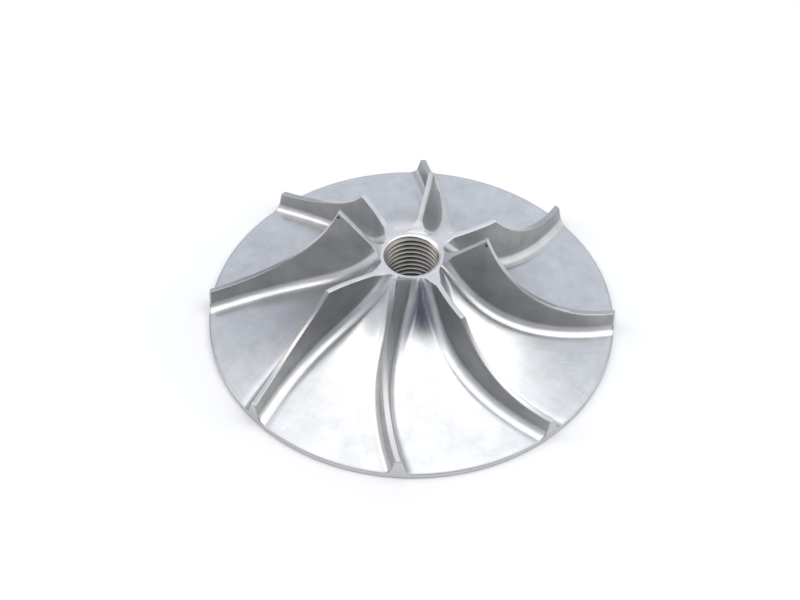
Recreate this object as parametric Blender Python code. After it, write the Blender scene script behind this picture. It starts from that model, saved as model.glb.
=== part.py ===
"""Water pump impeller: one disc with eight swept blades, milled from a single aluminium blank.

Metres, +Z up. The rotation axis is Z, the flat back face lies at z = 0, and the camber line of
the first full blade meets the rim on the +X axis. A full blade stands every 90 degrees, with a
lower splitter blade halfway to the next one. The whole surface is one closed mesh: rows of
points run round the axis over floor and blades, from the hub ring out to the rim, and the
threaded bore and the flat back close it.
"""

import math

import bmesh
import bpy
import numpy as np

# Disc and hub
DISC_RADIUS = 0.0430
RIM_THICKNESS = 0.0012
HUB_HEIGHT = 0.0195
HUB_RING_RADIUS = 0.0067
RING_CORNER = 0.0001

# Blades
BLADE_PAIRS = 4
EDGE_THICKNESS = 0.0011
ROOT_THICKNESS = 0.0021
WALL_DRAFT = 0.35
TIP_HEIGHT = 0.0052
PEAK_RADIUS = 0.0156
PEAK_HEIGHT = 0.0284

# Root fillets: the cutter's round end dips a little below the floor along each blade
FILLET_RADIUS = 0.0020
GROOVE_ANGLE = math.radians(12)
LAND_BETWEEN_FILLETS = 0.0006
LOWEST_BLADE = 0.00002

# Bezier handles: the two contours as (radius, height), and the camber line seen from above as
# (distance along the blade's own radius, offset to its left)
HUB_HANDLES = ((0.0124, 0.0147), (0.0123, 0.0056))
SHROUD_HANDLES = ((0.0203, 0.0151), (0.0311, 0.0067))
CAMBER_START = (0.0065, -0.0005)
CAMBER_HANDLES = ((0.0150, -0.0025), (0.0226, -0.0075))

# Threaded bore, M12 x 1.25, with a chamfered mouth at each end
THREAD_PITCH = 0.00125
THREAD_TURNS = 14
MAJOR_RADIUS = 0.0060
MINOR_RADIUS = 0.00532
MOUTH_RADIUS = 0.0060
CREST_FLAT = 0.25
ROOT_FLAT = 0.125

# Mesh resolution
STATIONS = 23
FLOOR_STEPS = 3
FILLET_STEPS = 4
THREAD_SIDES = 24
CURVE_SAMPLES = 200

HALF_SECTOR = math.pi / (2 * BLADE_PAIRS)


def bezier(start, handles, end):
    """Return evenly spaced samples of a cubic Bezier curve as two arrays."""
    corners = np.array((start, handles[0], handles[1], end))
    t = np.linspace(0.0, 1.0, CURVE_SAMPLES)[:, None]
    points = (
        (1 - t) ** 3 * corners[0]
        + 3 * t * (1 - t) ** 2 * corners[1]
        + 3 * t**2 * (1 - t) * corners[2]
        + t**3 * corners[3]
    )
    return points[:, 0], points[:, 1]


HUB_CURVE = bezier((HUB_RING_RADIUS, HUB_HEIGHT), HUB_HANDLES, (DISC_RADIUS, RIM_THICKNESS))
SHROUD_CURVE = bezier((PEAK_RADIUS, PEAK_HEIGHT), SHROUD_HANDLES, (DISC_RADIUS, TIP_HEIGHT))
CAMBER_X, CAMBER_Y = bezier(CAMBER_START, CAMBER_HANDLES, (DISC_RADIUS, 0.0))
CAMBER_RADIUS = np.hypot(CAMBER_X, CAMBER_Y)
CAMBER_ANGLE = np.arctan2(CAMBER_Y, CAMBER_X)


def floor_height(radius):
    """Height of the passage floor, the hub contour."""
    return float(np.interp(radius, *HUB_CURVE))


def camber_angle(radius):
    """Angle of the camber line, counted from where it meets the rim."""
    return float(np.interp(radius, CAMBER_RADIUS, CAMBER_ANGLE))


def sweep_stretch(radius):
    """How much longer a blade's thickness is along the circle than square to the blade."""
    step = 0.0002
    low = max(radius - step, HUB_RING_RADIUS)
    high = min(radius + step, DISC_RADIUS)
    turn = radius * (camber_angle(high) - camber_angle(low)) / (high - low)
    return math.hypot(1.0, turn)


def top_height(radius, is_full):
    """Height of a blade's upper edge: a full blade rises to its peak, a splitter stays level."""
    if radius >= PEAK_RADIUS:
        height = float(np.interp(radius, *SHROUD_CURVE))
    else:
        along = (radius - HUB_RING_RADIUS) / (PEAK_RADIUS - HUB_RING_RADIUS)
        height = HUB_HEIGHT + along * (PEAK_HEIGHT - HUB_HEIGHT)
    if is_full:
        return height
    return min(height, HUB_HEIGHT)


def blade_side(radius, is_full):
    """Points up one side of a blade, from the floor's edge of the fillet to the upper edge.

    Each is an offset from the camber line along the circle, with its height. The fillet is an
    arc: it starts below the floor's level, and stops short where the blade is low. The wall
    above it leans in.
    """
    floor = floor_height(radius)
    height = max(top_height(radius, is_full) - floor, LOWEST_BLADE)
    stretch = sweep_stretch(radius)
    half_root = ROOT_THICKNESS / 2 * stretch
    groove = GROOVE_ANGLE * min(1.0, height / FILLET_RADIUS)
    dip = FILLET_RADIUS * (1 - math.cos(groove))
    reach = FILLET_RADIUS * stretch * (1 + math.sin(groove))
    room = HALF_SECTOR * radius - half_root - LAND_BETWEEN_FILLETS / 2
    narrowed = FILLET_RADIUS * stretch * min(1.0, room / reach)
    last = math.acos(max(0.0, 1 - (height + dip) / FILLET_RADIUS))
    points = []
    for step in range(FILLET_STEPS + 1):
        turn = -groove + (last + groove) * step / FILLET_STEPS
        out = half_root + narrowed * (1 - math.sin(turn))
        points.append((out, floor - dip + FILLET_RADIUS * (1 - math.cos(turn))))
    foot, start = points[-1]
    wall = max(floor + height - start, 0.0)
    edge = max(EDGE_THICKNESS / 2 * stretch, foot - WALL_DRAFT * wall)
    points.append((edge, floor + height))
    return points


def row(radius):
    """Points once round the axis at one radius, over the floor and the blades."""
    points = []
    floor = floor_height(radius)
    for blade in range(2 * BLADE_PAIRS):
        centre = 2 * HALF_SECTOR * blade + camber_angle(radius)
        side = blade_side(radius, blade % 2 == 0)
        edge = side[0][0] / radius
        for step in range(FLOOR_STEPS):
            angle = centre - HALF_SECTOR + (HALF_SECTOR - edge) * step / FLOOR_STEPS
            points.append((angle, floor))
        for offset, height in side:
            points.append((centre - offset / radius, height))
        for offset, height in reversed(side):
            points.append((centre + offset / radius, height))
        for step in range(1, FLOOR_STEPS):
            angle = centre + edge + (HALF_SECTOR - edge) * step / FLOOR_STEPS
            points.append((angle, floor))
    return [(radius * math.cos(a), radius * math.sin(a), z) for a, z in points]


def station_radii():
    """Radii of the rows, closer together near the hub, with one at each blade's corner."""
    radii = [
        HUB_RING_RADIUS + (DISC_RADIUS - HUB_RING_RADIUS) * (step / STATIONS) ** 1.4
        for step in range(STATIONS + 1)
    ]
    shroud_radius, shroud_height = SHROUD_CURVE
    splitter_corner = float(np.interp(-HUB_HEIGHT, -shroud_height, shroud_radius))
    for corner in (PEAK_RADIUS, splitter_corner):
        nearest = min(range(1, STATIONS), key=lambda i: abs(radii[i] - corner))
        radii[nearest] = corner
    return radii


def bore_radius(height, thread_radius):
    """Radius of the bore's wall, where the chamfered mouths cut the thread away."""
    from_end = min(height, HUB_HEIGHT - height)
    return max(thread_radius, MOUTH_RADIUS - from_end)


def ring_of_vertices(mesh, points):
    """Make one vertex for each point of a closed row."""
    return [mesh.verts.new(point) for point in points]


def level_copy(ring, inset, height):
    """Points of a closed row of vertices, moved inward and brought to one height."""
    points = []
    for vertex in ring:
        x, y, _ = vertex.co
        share = 1 - inset / math.hypot(x, y)
        points.append((x * share, y * share, height))
    return points


def join_rows(mesh, lower, upper):
    """Join two closed rows of equal length with quads."""
    count = len(lower)
    for i in range(count):
        j = (i + 1) % count
        mesh.faces.new((lower[i], upper[i], upper[j], lower[j]))


def fill_between(mesh, inner, outer):
    """Fill a flat band between an inner and an outer closed row of vertices."""
    edges = []
    for ring in (inner, outer):
        for i, vertex in enumerate(ring):
            following = ring[(i + 1) % len(ring)]
            edge = mesh.edges.get((vertex, following)) or mesh.edges.new((vertex, following))
            edges.append(edge)
    bmesh.ops.triangle_fill(mesh, edges=edges, use_beauty=True)


def threaded_bore(mesh):
    """Build the thread as one helical strip and return the circles of its two mouths."""
    flank = (1.0 - CREST_FLAT - ROOT_FLAT) / 2
    profile = (
        (0.0, MAJOR_RADIUS),
        (flank, MINOR_RADIUS),
        (flank + CREST_FLAT, MINOR_RADIUS),
        (2 * flank + CREST_FLAT, MAJOR_RADIUS),
    )
    start = (HUB_HEIGHT - (THREAD_TURNS + 1) * THREAD_PITCH) / 2
    rows_per_side = len(profile) * THREAD_TURNS
    columns = []
    for side in range(THREAD_SIDES):
        rows = rows_per_side + (len(profile) if side == 0 else 0)
        column = []
        for index in range(rows + 1):
            along, radius = profile[index % len(profile)]
            turns = side / THREAD_SIDES + index // len(profile) + along
            height = start + turns * THREAD_PITCH
            radius = bore_radius(height, radius)
            angle = 2 * math.pi * side / THREAD_SIDES
            point = (radius * math.cos(angle), radius * math.sin(angle), height)
            column.append(mesh.verts.new(point))
        columns.append(column)
    columns.append(columns[0][len(profile):])
    for side in range(THREAD_SIDES):
        for index in range(rows_per_side):
            left, right = columns[side], columns[side + 1]
            mesh.faces.new((left[index], right[index], right[index + 1], left[index + 1]))
    mouths = []
    for height in (0.0, HUB_HEIGHT):
        mouths.append(ring_of_vertices(mesh, circle(MOUTH_RADIUS, height, THREAD_SIDES)))
    lower, upper = mouths
    for side in range(THREAD_SIDES):
        following = (side + 1) % THREAD_SIDES
        left, right = columns[side], columns[side + 1]
        mesh.faces.new((lower[side], lower[following], right[0], left[0]))
        mesh.faces.new((left[rows_per_side], right[rows_per_side], upper[following], upper[side]))
    first = columns[0]
    for index in range(len(profile)):
        mesh.faces.new((lower[0], first[index + 1], first[index]))
        last = rows_per_side + index
        mesh.faces.new((upper[0], first[last + 1], first[last]))
    return mouths


def circle(radius, height, sides):
    """Points of a level circle about the axis."""
    angles = [2 * math.pi * side / sides for side in range(sides)]
    return [(radius * math.cos(a), radius * math.sin(a), height) for a in angles]


def impeller_mesh():
    """Build the impeller's closed mesh."""
    mesh = bmesh.new()
    rows = [ring_of_vertices(mesh, row(radius)) for radius in station_radii()]
    rows.insert(0, ring_of_vertices(mesh, level_copy(rows[0], RING_CORNER, HUB_HEIGHT)))
    for inner, outer in zip(rows, rows[1:]):
        join_rows(mesh, inner, outer)
    rim_foot = ring_of_vertices(mesh, level_copy(rows[-1], 0.0, 0.0))
    join_rows(mesh, rows[-1], rim_foot)
    lower_mouth, upper_mouth = threaded_bore(mesh)
    fill_between(mesh, upper_mouth, rows[0])
    fill_between(mesh, lower_mouth, rim_foot)
    bmesh.ops.triangulate(mesh, faces=mesh.faces)
    bmesh.ops.recalc_face_normals(mesh, faces=mesh.faces)
    return mesh


def milled_aluminium():
    """Bare aluminium as it leaves the milling machine."""
    material = bpy.data.materials.new("milled_aluminium")
    material.use_nodes = True
    shader = material.node_tree.nodes["Principled BSDF"]
    shader.inputs["Base Color"].default_value = (0.80, 0.81, 0.83, 1.0)
    shader.inputs["Metallic"].default_value = 1.0
    shader.inputs["Roughness"].default_value = 0.32
    return material


def impeller():
    """Make the impeller, one piece with its blades, hub ring and threaded bore."""
    mesh = impeller_mesh()
    data = bpy.data.meshes.new("impeller")
    mesh.to_mesh(data)
    mesh.free()
    data.materials.append(milled_aluminium())
    data.shade_smooth()
    data.set_sharp_from_angle(angle=math.radians(35))
    piece = bpy.data.objects.new("impeller", data)
    bpy.context.scene.collection.objects.link(piece)
    return piece


for leftover in list(bpy.data.objects):
    bpy.data.objects.remove(leftover)
impeller()
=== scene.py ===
import math

import bmesh
import bpy
import numpy as np
from mathutils import Matrix, Vector


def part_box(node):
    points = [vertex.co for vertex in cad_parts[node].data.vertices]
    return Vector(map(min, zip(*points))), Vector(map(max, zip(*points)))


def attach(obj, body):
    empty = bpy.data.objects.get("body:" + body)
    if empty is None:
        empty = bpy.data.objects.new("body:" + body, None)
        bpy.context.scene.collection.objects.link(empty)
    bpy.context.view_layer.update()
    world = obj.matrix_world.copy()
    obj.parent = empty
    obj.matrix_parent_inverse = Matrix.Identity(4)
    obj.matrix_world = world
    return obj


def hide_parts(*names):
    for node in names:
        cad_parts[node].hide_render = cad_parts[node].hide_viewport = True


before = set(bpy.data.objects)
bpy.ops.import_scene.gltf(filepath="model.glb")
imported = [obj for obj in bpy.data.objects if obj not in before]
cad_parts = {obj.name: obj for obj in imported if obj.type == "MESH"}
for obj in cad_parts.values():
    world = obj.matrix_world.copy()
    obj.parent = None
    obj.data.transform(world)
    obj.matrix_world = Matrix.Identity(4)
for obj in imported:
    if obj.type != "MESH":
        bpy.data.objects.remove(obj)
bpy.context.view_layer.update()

# The impeller is one piece of wrought aluminium, milled from a turned blank. Its shape follows
# from three curves: the hub contour that the passage floors lie on, the shroud contour that
# the blades' upper edges were turned to, and the blades' camber line seen from above.
low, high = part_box("impeller")
disc_radius = (high.x - low.x) / 2
peak_height = high.z
rim_thickness = 0.0012
ring_radius = 0.0067
hub_height = 0.0195
tip_height = 0.0052
peak_radius = 0.0156
curve_samples = 400


def bezier(*corners):
    """Points along a cubic Bezier curve, as one array for each coordinate."""
    a, b, c, d = np.array(corners)
    t = np.linspace(0.0, 1.0, curve_samples)[:, None]
    points = (1 - t) ** 3 * a + 3 * t * (1 - t) ** 2 * b + 3 * t**2 * (1 - t) * c + t**3 * d
    return points.T


hub_curve = bezier(
    (ring_radius, hub_height), (0.0124, 0.0147), (0.0123, 0.0056), (disc_radius, rim_thickness)
)
shroud_curve = bezier(
    (peak_radius, peak_height), (0.0203, 0.0151), (0.0311, 0.0067), (disc_radius, tip_height)
)
camber_x, camber_y = bezier(
    (0.0065, -0.0005), (0.0150, -0.0025), (0.0226, -0.0075), (disc_radius, 0.0)
)
camber_radius = np.hypot(camber_x, camber_y)
camber_angle = np.arctan2(camber_y, camber_x)
camber_turn = camber_radius * np.gradient(camber_angle, camber_radius)


def floor_height(radius):
    """Height of the passages' floor."""
    return float(np.interp(radius, *hub_curve))


def top_height(radius, is_full):
    """Height of a blade's upper edge: a full blade rises to a peak, a splitter's top is level."""
    if radius >= peak_radius:
        height = float(np.interp(radius, *shroud_curve))
    else:
        along = (radius - ring_radius) / (peak_radius - ring_radius)
        height = hub_height + along * (peak_height - hub_height)
    return height if is_full else min(height, hub_height)


# A blade's side, from its foot up: a ball-end cutter left a groove that dips below the floor,
# then the fillet, then the wall, which leans in towards the upper edge. The edge itself is
# rounded a little, as it comes out of the deburring.
blade_pairs = 4
half_sector = math.pi / (2 * blade_pairs)
edge_thickness = 0.0011
root_thickness = 0.0021
wall_draft = 0.35
wall_steps = 6
fillet_radius = 0.0020
fillet_steps = 13
groove_angle = math.radians(12)
edge_round = 0.0002
round_steps = 3

# What is always left of a blade's height, its wall, the wall's lean and the flat floor between
# two fillets, so that no two points of a side fall together.
least_height = 0.00002
least_wall = 0.0001
least_lean = 0.1
least_floor = 0.0003


def blade_side(radius, is_full):
    """Offsets along the circle and heights of one side's points, from the foot to the top."""
    floor = floor_height(radius)
    height = max(top_height(radius, is_full) - floor, least_height)
    # A blade crosses the circle at a slant, which stretches its thickness along the circle.
    stretch = math.hypot(1.0, float(np.interp(radius, camber_radius, camber_turn)))
    half_root = root_thickness / 2 * stretch
    half_edge = edge_thickness / 2 * stretch
    # A blade lower than the fillet has a shallower groove, and where the passage is narrow
    # the fillet is squeezed.
    groove = groove_angle * min(1.0, height / fillet_radius)
    dip = fillet_radius * (1 - math.cos(groove))
    reach = fillet_radius * stretch * (1 + math.sin(groove))
    squeeze = min(1.0, (half_sector * radius - half_root - least_floor) / reach) * stretch
    bare_wall = max(height + dip - fillet_radius, least_wall)
    lean = min(wall_draft, (half_root - half_edge) / bare_wall)
    # The fillet ends where it runs tangent into the leaning wall, or at the blade's top.
    centre = half_root + fillet_radius * math.hypot(squeeze, lean)
    top_turn = math.acos(max(0.0, 1 - (height + dip) / fillet_radius))
    last = min(top_turn, math.atan2(squeeze, lean))
    points = []
    for turn in np.linspace(-groove, last, fillet_steps + 1):
        out = centre - fillet_radius * math.sin(turn) * squeeze
        points.append((out, fillet_radius * (1 - math.cos(turn)) - dip))
    out, rise = points[-1]
    corner = max(0.0, min(edge_round, height - rise))
    wall = max(0.0, height - rise - corner)
    top_out = max(half_edge, out - max(lean * wall, least_lean * (out - half_edge)))
    for step in range(1, wall_steps + 1):
        share = step / wall_steps
        points.append((out + (top_out - out) * share, rise + wall * share))
    for step in range(1, round_steps + 1):
        turn = math.pi / 2 * step / round_steps
        out = top_out - edge_round * (1 - math.cos(turn))
        points.append((out, rise + wall + corner * math.sin(turn)))
    return [(offset, floor + up) for offset, up in points]


# The milled side of the disc is made of rows of points from the hub ring to the rim. Each row
# goes once round the axis, and each point keeps its distance from the nearest blade's foot,
# along which the cutter's marks run. The rows lie closer together near the hub.
stations = 150
crowding = 1.35
floor_steps = 10
rim_corner = 0.0003
mesh = bmesh.new()
girth_layer = mesh.verts.layers.float.new("girth")
MILLED, TURNED_SHADED, FACED, THREADED = range(4)


def row(radius):
    """Make one row of vertices, once round the axis."""
    vertices = []
    floor = floor_height(radius)
    for blade in range(2 * blade_pairs):
        centre = 2 * half_sector * blade + float(np.interp(radius, camber_radius, camber_angle))
        side = blade_side(radius, blade % 2 == 0)
        foot = side[0][0] / radius
        gaps = [(half_sector - foot) * (1 - step / floor_steps) for step in range(floor_steps)]
        steps = [math.dist(a, b) for a, b in zip(side, side[1:])]
        girths = [sum(steps[:count]) for count in range(len(side))]
        points = [(centre - foot - gap, floor, -gap * radius) for gap in gaps]
        points += [(centre - out / radius, z, g) for (out, z), g in zip(side, girths)]
        points += [(centre + out / radius, z, g) for (out, z), g in zip(side[::-1], girths[::-1])]
        points += [(centre + foot + gap, floor, -gap * radius) for gap in gaps[:0:-1]]
        for angle, z, girth in points:
            vertex = mesh.verts.new((radius * math.cos(angle), radius * math.sin(angle), z))
            vertex[girth_layer] = girth
            vertices.append(vertex)
    return vertices


def join(lower, upper, zone):
    """Join two rows of equal length with quads, which take the finish of a zone."""
    quads = []
    for here, there in zip(zip(lower, upper), zip(lower[1:] + lower[:1], upper[1:] + upper[:1])):
        quad = mesh.faces.new((here[0], here[1], there[1], there[0]))
        quad.material_index = zone
        quads.append(quad)
    return quads


# A splitter's level top meets the shroud contour at this radius. A row lies there and at the
# full blades' peaks, and there the blades' tops change from the bright tone to painted shade.
splitter_corner = float(np.interp(-hub_height, -shroud_curve[1], shroud_curve[0]))
outward = np.linspace(0, 1, stations) ** crowding
radii = ring_radius + (disc_radius - rim_corner - ring_radius) * outward
for corner in (peak_radius, splitter_corner):
    radii[np.abs(radii[1:-1] - corner).argmin() + 1] = corner
rows = [row(radius) for radius in radii]
side_count = fillet_steps + 1 + wall_steps + round_steps
per_blade = 2 * (side_count + floor_steps) - 1
for inner, outer, radius in zip(rows, rows[1:], radii[1:]):
    quads = join(inner, outer, MILLED)
    for blade in range(2 * blade_pairs):
        top = blade * per_blade + floor_steps + side_count - 1
        corner = splitter_corner if blade % 2 else peak_radius
        for index in range(top - round_steps, top + round_steps + 1):
            quads[index].material_index = FACED if radius <= corner else TURNED_SHADED

# The rim's wall and the back were turned. The rim's upper corner is rounded, together with the
# blades' ends, and the edges of the back and of the hub ring are broken.
edge_break = 0.0001
corner_steps = 4


def shifted(vertices, new_radius, new_height):
    """Copy a row to another radius, with each height worked out from the old one."""
    copies = []
    for vertex in vertices:
        x, y, z = vertex.co
        scale = new_radius / math.hypot(x, y)
        copy = mesh.verts.new((x * scale, y * scale, new_height(z)))
        copy[girth_layer] = vertex[girth_layer]
        copies.append(copy)
    return copies


rim = rows[-1]
for step in range(1, corner_steps + 1):
    turn = math.pi / 2 * step / corner_steps
    out = disc_radius - rim_corner * (1 - math.sin(turn))
    drop = rim_corner * (1 - math.cos(turn))
    lower = shifted(rows[-1], out, lambda z: z - drop)
    join(rim, lower, TURNED_SHADED)
    rim = lower
rim_foot = shifted(rim, disc_radius, lambda z: edge_break)
back_edge = shifted(rim, disc_radius - edge_break, lambda z: 0.0)
ring_edge = shifted(rows[0], ring_radius - edge_break, lambda z: hub_height)
join(rim, rim_foot, TURNED_SHADED)
join(rim_foot, back_edge, TURNED_SHADED)
join(ring_edge, rows[0], FACED)

# The threaded bore takes the pump shaft: M12 x 1.25, right-handed, cut right through, with a
# chamfered mouth at each end. Its flanks and crests run up the bore as one helical strip, which
# runs out in the mouths: a point that would lie past a mouth is held just inside it.
pitch = 0.00125
turns = 16
run_out = 0.0001
major_radius = 0.0060
minor_radius = 0.00532
mouth_radius = major_radius
mouth_slope = 1.5
thread_sides = 96
thread_start = math.pi

# The thread's profile, as shares of the pitch and radii, with its corners eased.
crest_flat = 0.25
root_flat = 0.125
crest_corner = 0.02
crest_round = 0.00008
root_corner = 0.03
root_round = 0.00005
flank = (1.0 - crest_flat - root_flat) / 2
profile = (
    (0.0, major_radius - root_round),
    (root_corner, major_radius - 2 * root_round),
    (flank - crest_corner, minor_radius + crest_round),
    (flank + crest_corner, minor_radius),
    (flank + crest_flat - crest_corner, minor_radius),
    (flank + crest_flat + crest_corner, minor_radius + crest_round),
    (2 * flank + crest_flat - root_corner, major_radius - 2 * root_round),
    (2 * flank + crest_flat, major_radius - root_round),
    (1.0 - root_flat / 2, major_radius),
)
start = (hub_height - (turns + 1) * pitch) / 2


def held_inside(z):
    """A height on the thread, eased so that it stays between the two mouths."""
    past = abs(z - hub_height / 2) - (hub_height / 2 - run_out)
    if past <= 0:
        return z
    gap = run_out**2 / (run_out + past)
    return hub_height - gap if z > hub_height / 2 else gap


strip = len(profile) * turns
angles = [thread_start + 2 * math.pi * side / thread_sides for side in range(thread_sides)]
columns = []
for side, angle in enumerate(angles):
    column = []
    for index in range(strip + 1 + (len(profile) if side == 0 else 0)):
        along, radius = profile[index % len(profile)]
        z = held_inside(start + (side / thread_sides + index // len(profile) + along) * pitch)
        radius = max(radius, mouth_radius - mouth_slope * min(z, hub_height - z))
        column.append(mesh.verts.new((radius * math.cos(angle), radius * math.sin(angle), z)))
    columns.append(column)
columns.append(columns[0][len(profile):])
mouths = []
for z in (0.0, hub_height):
    mouths.append([
        mesh.verts.new((mouth_radius * math.cos(a), mouth_radius * math.sin(a), z)) for a in angles
    ])
bore_faces = []
for side in range(thread_sides):
    left, right = columns[side], columns[side + 1]
    after = (side + 1) % thread_sides
    for index in range(strip):
        bore_faces.append((left[index], left[index + 1], right[index + 1], right[index]))
    bore_faces.append((mouths[0][side], left[0], right[0], mouths[0][after]))
    bore_faces.append((left[strip], mouths[1][side], mouths[1][after], right[strip]))
for index in range(len(profile)):
    bore_faces.append((mouths[0][0], columns[0][index + 1], columns[0][index]))
    bore_faces.append((mouths[1][0], columns[0][strip + index], columns[0][strip + index + 1]))
for corners in bore_faces:
    mesh.faces.new(corners).material_index = THREADED

# The level hub ring and the flat back close the body between the bore and the milled side.
# Edges sharper than this angle stay crisp.
sharp_angle = math.radians(14)


def fill_flat(inner, outer, zone):
    """Fill the level band between two closed rows of vertices."""
    edges = []
    for ring in (inner, outer):
        for pair in zip(ring, ring[1:] + ring[:1]):
            edges.append(mesh.edges.get(pair) or mesh.edges.new(pair))
    for face in bmesh.ops.triangle_fill(mesh, edges=edges, use_beauty=True)["geom"]:
        if isinstance(face, bmesh.types.BMFace):
            face.material_index = zone


fill_flat(mouths[1], ring_edge, FACED)
fill_flat(mouths[0], back_edge, TURNED_SHADED)
bmesh.ops.recalc_face_normals(mesh, faces=mesh.faces)
data = bpy.data.meshes.new("impeller_body")
mesh.to_mesh(data)
mesh.free()
data.shade_smooth()
data.set_sharp_from_angle(angle=sharp_angle)
body = bpy.data.objects.new("impeller_body", data)
bpy.context.scene.collection.objects.link(body)


# Bare aluminium shows how each surface was cut: the milled passages have fine marks along the
# cutter's path, the turned faces have rings round the axis, and the thread is painted darker as
# shade in the bore. Each finish is a material of its own on the one piece.
class Value:
    """A shader socket that takes part in arithmetic, adding Math nodes as it goes."""

    def __init__(self, tree, socket=None):
        self.tree = tree
        self.socket = socket

    def node(self, kind, settings, **inputs):
        """Add a node: its settings first, then each input by its socket's identifier."""
        node = self.tree.nodes.new(kind)
        for name, value in settings.items():
            setattr(node, name, value)
        sockets = {socket.identifier.replace(" ", "_"): socket for socket in node.inputs}
        for name, value in inputs.items():
            link(self.tree, sockets[name], value)
        return node

    def math(self, operation, *others):
        """Add a Math node that works on this value and the others."""
        node = self.node("ShaderNodeMath", {"operation": operation})
        for slot, operand in zip(node.inputs, (self, *others)):
            link(self.tree, slot, operand)
        return Value(self.tree, node.outputs[0])

    def __add__(self, other):
        return self.math("ADD", other)

    def __sub__(self, other):
        return self.math("SUBTRACT", other)

    def __rsub__(self, other):
        return self * -1.0 + other

    def __mul__(self, other):
        return self.math("MULTIPLY", other)

    def held(self):
        """The value held between 0 and 1."""
        return self.math("MAXIMUM", 0.0).math("MINIMUM", 1.0)

    __radd__ = __add__
    __rmul__ = __mul__


def link(tree, socket, value):
    """Feed a socket from a Value, another socket or a plain number, colour or vector."""
    if isinstance(value, Value):
        value = value.socket
    if isinstance(value, bpy.types.NodeSocket):
        tree.links.new(value, socket)
    else:
        socket.default_value = value


def new_finish(name):
    """A metal finish: its material, its shader, and a place to start expressions from."""
    material = bpy.data.materials.new(name)
    material.use_nodes = True
    tree = material.node_tree
    shader = tree.nodes["Principled BSDF"]
    shader.inputs["Metallic"].default_value = 1.0
    position = Value(tree).node("ShaderNodeNewGeometry", {}).outputs["Position"]
    return material, shader, Value(tree, position)


def noise(place, scale, detail=3.0, roughness=0.5):
    """Noise over a place, as a Value from 0 to 1."""
    node = place.node(
        "ShaderNodeTexNoise", {}, Vector=place, Scale=scale, Detail=detail, Roughness=roughness
    )
    return Value(place.tree, node.outputs["Fac"])


def marks(place, x, y, detail):
    """Cutter's marks: noise over two Values that are already scaled to the marks' size."""
    node = place.node("ShaderNodeCombineXYZ", {}, X=x, Y=y)
    return noise(Value(place.tree, node.outputs[0]), scale=1.0, detail=detail, roughness=0.6)


def about_axis(place):
    """A point's distance from the rotation axis and its height, in metres."""
    node = place.node("ShaderNodeSeparateXYZ", {}, Vector=place)
    x = Value(place.tree, node.outputs["X"])
    y = Value(place.tree, node.outputs["Y"])
    z = Value(place.tree, node.outputs["Z"])
    return (x * x + y * y).math("SQRT"), z


def tint(place, shader, share, dark, light):
    """Blend the base colour between two tones."""
    node = place.node(
        "ShaderNodeMix", {"data_type": "RGBA"}, Factor_Float=share, A_Color=dark, B_Color=light
    )
    colour = next(socket for socket in node.outputs if socket.type == "RGBA")
    link(place.tree, shader.inputs["Base Color"], colour)


def bump(place, shader, height, strength=0.15, distance=0.00002):
    """Raise or sink the cutter's marks a little; the distance is in metres."""
    node = place.node("ShaderNodeBump", {}, Strength=strength, Distance=distance, Height=height)
    link(place.tree, shader.inputs["Normal"], node.outputs["Normal"])


# The passages' floors and fillets are bright and a little mottled. The walls were cut with the
# mill's flank; their darker grey is painted shade. A fillet gets rougher towards its wall. A dark
# spot of painted shade sits just under each full blade's peak, and is sunk a little in the bump.
fillet_girth = fillet_radius * math.pi / 2
wall_from = 0.8
wall_fade = 1500.0
rim_from = 0.030
rim_fade = 80.0
streaks_along = 90.0
streaks_across = 2600.0
rings_outward = 2200.0
rings_upward = 300.0
peak_shade_size = 0.00055
peak_shade_below_peak = 0.0014
peak_shade_sharpness = 1.5
peak_shade_grey = (0.10, 0.10, 0.11, 1)
milled_bright = (0.87, 0.885, 0.895, 1)
milled, shader, place = new_finish("milled_passages")
radius, z = about_axis(place)
attribute = place.node("ShaderNodeAttribute", {"attribute_name": "girth"})
girth = Value(place.tree, attribute.outputs["Fac"])
up_fillet = (girth * (1 / fillet_girth)).held()
in_wall = ((girth - fillet_girth * wall_from) * wall_fade).held()
near_rim = ((radius - rim_from) * rim_fade).held()
streaks = marks(place, radius * streaks_along, girth * streaks_across, detail=4.0)
rings = marks(place, radius * rings_outward, z * rings_upward, detail=3.0)
blotches = noise(place, scale=210.0, detail=4.0, roughness=0.6)
# Painted shade: a dark spot on the walls just under each full blade's peak, also sunk in the bump.
across = radius - peak_radius
down = z - (peak_height - peak_shade_below_peak)
from_peak_shade = (across * across + down * down).math("SQRT")
peak_shade = (peak_shade_sharpness - from_peak_shade * (peak_shade_sharpness / peak_shade_size)).held()
mottle = (blotches - 0.5) * 0.42 + (streaks - 0.5) * 0.18 + (rings - 0.5) * near_rim * 0.15
floor_share = mottle + 0.85
# The walls' darker grey is painted shade.
wall_shade_share = streaks * 0.14 + (blotches - 0.5) * 0.35 + 0.32
finish_share = (floor_share * (1 - in_wall) + in_wall * wall_shade_share).held()
tint(place, shader, finish_share * (1 - peak_shade), peak_shade_grey, milled_bright)
link(place.tree, shader.inputs["Roughness"], 0.20 + streaks * 0.10 + up_fillet * 0.30)
bump(place, shader, streaks - peak_shade * 8.0)

# The rim, the back and the outer parts of the blades' edges were turned, with rings round the
# axis. Their darker grey is painted shade, a shaded copy of the bright faced tone.
turned_shade_grey = (0.48, 0.485, 0.50, 1)
turned_shade_light = (0.66, 0.665, 0.68, 1)
ring_scale = 5200.0
turned_shaded, shader, place = new_finish("turned_faces")
radius, z = about_axis(place)
rings = marks(place, radius * ring_scale, z * ring_scale, detail=2.0)
blotches = noise(place, scale=120.0)
tint(place, shader, rings * 0.4 + blotches * 0.6, turned_shade_grey, turned_shade_light)
link(place.tree, shader.inputs["Roughness"], 0.27 + rings * 0.12)
bump(place, shader, rings)

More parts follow.
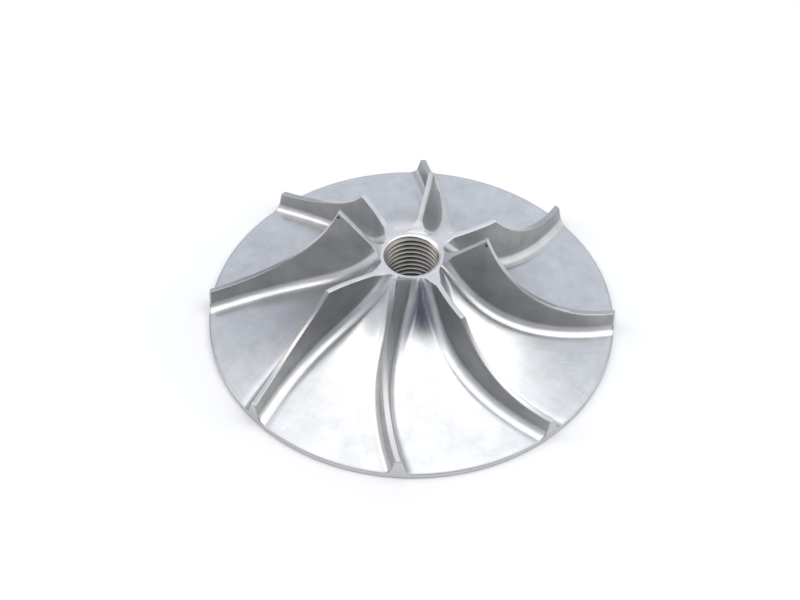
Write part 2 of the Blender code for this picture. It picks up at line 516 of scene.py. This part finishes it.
# The hub ring, the splitters' level tops and the full blades' leading edges are the brightest,
# and are taken as faced last; the darker turned tone beside them is painted shade.
faced_grey = (0.62, 0.63, 0.65, 1)
faced_bright = (0.86, 0.865, 0.87, 1)
faced, shader, place = new_finish("faced_ring")
blotches = noise(place, scale=300.0)
tint(place, shader, blotches, faced_grey, faced_bright)
link(place.tree, shader.inputs["Roughness"], 0.34 + blotches * 0.12)

# Painted shade darkens the thread in the bore, and its roots are rougher; the upper chamfer is
# bright.
thread_shade_dark = (0.31, 0.30, 0.29, 1)
chamfer_bright = (0.80, 0.80, 0.80, 1)
chamfer_depth = (mouth_radius - minor_radius) / mouth_slope
chamfer_fade = 12000.0
threaded, shader, place = new_finish("cut_thread")
radius, z = about_axis(place)
depth = (radius - minor_radius) * (1 / (major_radius - minor_radius))
chamfer = ((z - (hub_height - chamfer_depth)) * chamfer_fade).held()
tint(place, shader, chamfer, thread_shade_dark, chamfer_bright)
link(place.tree, shader.inputs["Roughness"], 0.28 + (depth * 3.0).held() * 0.2)

for finish in (milled, turned_shaded, faced, threaded):
    data.materials.append(finish)
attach(body, "root")
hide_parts("impeller")

# A plain pale floor that the impeller lies on, far larger than the view. It is matt, and lies
# just under the back face.
floor_half = 3.0
floor_gap = 0.0001
floor_data = bpy.data.meshes.new("floor")
floor_data.from_pydata(
    [(x * floor_half, y * floor_half, -floor_gap) for x, y in ((-1, -1), (1, -1), (1, 1), (-1, 1))],
    [], [(0, 1, 2, 3)],
)
floor = bpy.data.objects.new("floor", floor_data)
bpy.context.scene.collection.objects.link(floor)
paper = bpy.data.materials.new("white_paper")
paper.use_nodes = True
paper_shader = paper.node_tree.nodes["Principled BSDF"]
paper_shader.inputs["Base Color"].default_value = (0.93, 0.935, 0.95, 1)
paper_shader.inputs["Roughness"].default_value = 0.9
paper_shader.inputs["Specular IOR Level"].default_value = 0.1
floor_data.materials.append(paper)


# Soft studio light: a panel at each side, a dim one in front at the left, a soft pale one behind
# and a wide one overhead. A dark card stands beside the camera, and shows as the dark in the hub.
room = bpy.data.worlds.new("room")
bpy.context.scene.world = room
room.use_nodes = True
tree = room.node_tree
sky = Value(tree, Value(tree).node("ShaderNodeTexCoord", {}).outputs["Generated"])


def patch(azimuth, elevation, inner, outer):
    """Share of a round patch of sky, which fades between two half angles, in degrees."""
    azimuth, elevation = math.radians(azimuth), math.radians(elevation)
    level = math.cos(elevation)
    centre = (level * math.cos(azimuth), level * math.sin(azimuth), math.sin(elevation))
    aligned = sky.node(
        "ShaderNodeVectorMath", {"operation": "DOT_PRODUCT"}, Vector=sky, Vector_001=centre
    )
    share = sky.node(
        "ShaderNodeMapRange", {"interpolation_type": "SMOOTHSTEP"}, Value=aligned.outputs["Value"],
        From_Min=math.cos(math.radians(outer)), From_Max=math.cos(math.radians(inner)),
    )
    return share.outputs["Result"]


wall_tone = (0.222, 0.226, 0.267, 1)
card_tone = (0.0, 0.012, 0.05, 1)
card_patch = patch(azimuth=285, elevation=38, inner=12.5, outer=20)
card = sky.node(
    "ShaderNodeMix", {"data_type": "RGBA"}, Factor_Float=card_patch,
    A_Color=wall_tone, B_Color=card_tone,
)
light = next(socket for socket in card.outputs if socket.type == "RGBA")

# Each panel's azimuth, elevation and two half angles, and its colour.
panels = {
    "right": ((0, 43, 20, 36), (1.53, 1.52, 1.43)),
    "left": ((175.5, 37, 11, 18.5), (2.30, 2.15, 1.90)),
    "front left": ((226, 54, 31.5, 38), (0.48, 0.49, 0.49)),
    "behind": ((88.5, 34.5, 2, 48), (0.47, 0.50, 0.53)),
    "overhead": ((230, 86, 23.5, 44.5), (0.98, 0.97, 0.94)),
}
for place, colour in panels.values():
    lamp = sky.node(
        "ShaderNodeVectorMath", {"operation": "SCALE"}, Vector=colour, Scale=patch(*place)
    )
    total = sky.node(
        "ShaderNodeVectorMath", {"operation": "ADD"}, Vector=light, Vector_001=lamp.outputs["Vector"]
    )
    light = total.outputs["Vector"]
link(tree, tree.nodes["Background"].inputs["Color"], light)

# The camera looks down at about 48 degrees through a long lens, from about ten times the disc's
# radius away.
camera_elevation = math.radians(47.98)
camera_azimuth = math.radians(3.23)
camera_roll = math.radians(0.52)
camera_distance = 0.4471
aim = Vector((-0.0023, -0.0029, 0.0086))
lens_data = bpy.data.cameras.new("camera")
lens_data.lens = 96.0
lens_data.sensor_width = 36.0
camera = bpy.data.objects.new("camera", lens_data)
turn = Matrix.Rotation(camera_azimuth, 4, "Z")
tilt = Matrix.Rotation(math.pi / 2 - camera_elevation, 4, "X")
roll = Matrix.Rotation(camera_roll, 4, "Z")
back_off = Matrix.Translation((0.0, 0.0, camera_distance))
camera.matrix_world = Matrix.Translation(aim) @ turn @ tilt @ roll @ back_off
bpy.context.scene.collection.objects.link(camera)
bpy.context.scene.camera = camera
bpy.context.scene.view_settings.view_transform = "Standard"
